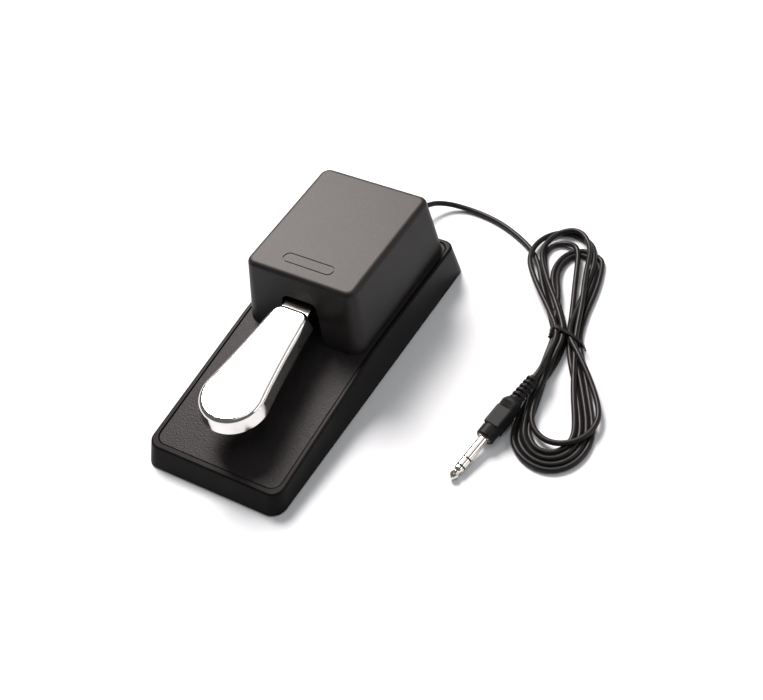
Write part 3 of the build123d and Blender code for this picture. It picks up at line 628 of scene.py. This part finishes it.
def make_tie(line):
    """A thin twist tie: two windings, a twisted knot on one side and a loose end on the other."""
    plan = in_hank_plan(line)
    beside = np.abs(plan[:, 0] - TIE_ALONG - TIE_SLANT * plan[:, 1])
    places = plan[(beside < TIE_SLICE) & (np.abs(plan[:, 1]) < TIE_REACH)][:, 1:]
    steps = TIE_WINDINGS * TIE_STEPS
    winding = []
    for step in range(steps + TIE_MORE_STEPS):
        across, height = tie_winding(places, TIE_START + step / TIE_STEPS)
        shift = TIE_SPREAD - 2 * TIE_SPREAD * step / steps
        winding.append((TIE_ALONG + TIE_SLANT * across + shift, across, height))
    winding += TIE_TAIL
    tie = spline_object("twist_tie", [in_hank(*place) for place in winding], TIE_RADIUS)
    for sign in (1, -1):
        add_spline(tie.data, [in_hank(*place) for place in knot_wire(sign)])
    dress(tie, "tie_plastic")
    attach(tie, "base")
    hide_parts("hank_tie")
    return tie


def make_cord():
    """The lead as one cord, with the tie and the plug's pieces on it."""
    route = cord_route()
    cord = dress(spline_object("cord", route, CORD_RADIUS), "cord_jacket")
    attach(cord, "base")
    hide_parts("cord_lead", "cord_hank", "cord_tail")
    carried = [make_plug_grip(), make_plug_boot(), make_tie(spline_basis(len(route), 24) @ route)]


def make_spring():
    """The return spring with closed end turns."""
    low, high = (Vector(corner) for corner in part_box("return_spring"))
    middle = (low + high) / 2
    radius = (high.x - low.x) / 2 - SPRING_WIRE
    rise = high.z - low.z - 2 * SPRING_WIRE
    steps = SPRING_TURNS * SPRING_STEPS
    points = []
    for step in range(steps + 1):
        share = step / steps
        angle = math.tau * SPRING_TURNS * share
        closing = math.sin(math.tau * share) / math.tau * SPRING_CLOSING
        height = low.z + SPRING_WIRE + rise * (share - closing)
        x = middle.x + radius * math.cos(angle)
        y = middle.y + radius * math.sin(angle)
        points.append((x, y, height))
    wound = spline_object("spring_curve", points, SPRING_WIRE)
    mesh = bpy.data.meshes.new_from_object(wound)
    bpy.data.objects.remove(wound)
    spring = bpy.data.objects.new("wound_spring", mesh)
    bpy.context.scene.collection.objects.link(spring)
    dress(spring, "spring_steel")
    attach(spring, "base")
    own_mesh(spring)
    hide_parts("return_spring")


# ---- Stage ----
FLOOR_HALF = 3.0
FLOOR_HEIGHT = -0.0001
# Each light's name, place, size, watts and colour.
LIGHTS = [
    ("key", (-0.88, 0.81, 1.39), (0.76, 0.74), 60, (1.0, 0.93, 0.905)),
    ("overhead", (0.25, 0.1, 1.6), (1.4, 1.0), 5, (1, 1, 1)),
    ("side", (1.5, 0.5, 0.8), (1.2, 0.8), 7.0, (1.0, 0.95, 0.93)),
]
WORLD_COLOUR = (1.0, 0.985, 0.97, 1.0)
WORLD_STRENGTH = 0.14


def add_camera():
    """The camera, turned about its own line of sight by the roll."""
    lean, turn = VIEW_ELEVATION, VIEW_AZIMUTH
    back = Vector((math.sin(turn) * math.cos(lean), -math.cos(turn) * math.cos(lean), math.sin(lean)))
    right = Vector((math.cos(turn), math.sin(turn), 0))
    up = back.cross(right)
    c, s = math.cos(VIEW_ROLL), math.sin(VIEW_ROLL)
    axes = Matrix((right * c + up * s, up * c - right * s, back)).transposed()
    data = bpy.data.cameras.new("camera")
    data.lens = LENS_MM
    data.sensor_width = SENSOR_MM
    data.clip_start = 0.01
    camera = bpy.data.objects.new("camera", data)
    place = VIEW_TARGET + back * VIEW_DISTANCE
    camera.matrix_world = Matrix.Translation(place) @ axes.to_4x4()
    bpy.context.scene.collection.objects.link(camera)
    bpy.context.scene.camera = camera


def add_floor():
    """A plain pale floor, just under the object so that their faces don't meet."""
    mesh = bpy.data.meshes.new("floor")
    signs = ((-1, -1), (1, -1), (1, 1), (-1, 1))
    corners = [(FLOOR_HALF * x, FLOOR_HALF * y, FLOOR_HEIGHT) for x, y in signs]
    mesh.from_pydata(corners, [], [(0, 1, 2, 3)])
    floor = bpy.data.objects.new("floor", mesh)
    bpy.context.scene.collection.objects.link(floor)
    look = new_look("pale_floor", (0.80, 0.83, 0.86), 0.7, Specular_IOR_Level=0.1)
    mesh.materials.append(look)


def add_area(name, place, size, watts, colour):
    """A soft rectangular light, turned towards the middle of the view."""
    data = bpy.data.lights.new(name, "AREA")
    data.shape = "RECTANGLE"
    data.size, data.size_y = size
    data.energy = watts
    data.color = colour
    light = bpy.data.objects.new(name, data)
    light.location = place
    light.rotation_euler = (VIEW_TARGET - Vector(place)).to_track_quat("-Z", "Y").to_euler()
    bpy.context.scene.collection.objects.link(light)


def add_world():
    """Even light from all round, which fills the shadows."""
    world = bpy.data.worlds.new("studio")
    world.use_nodes = True
    background = world.node_tree.nodes["Background"]
    background.inputs["Color"].default_value = WORLD_COLOUR
    background.inputs["Strength"].default_value = WORLD_STRENGTH
    bpy.context.scene.world = world


dress_cad_nodes()
make_cord()
make_spring()
add_camera()
add_floor()
for light in LIGHTS:
    add_area(*light)
add_world()
bpy.context.scene.view_settings.view_transform = "Standard"
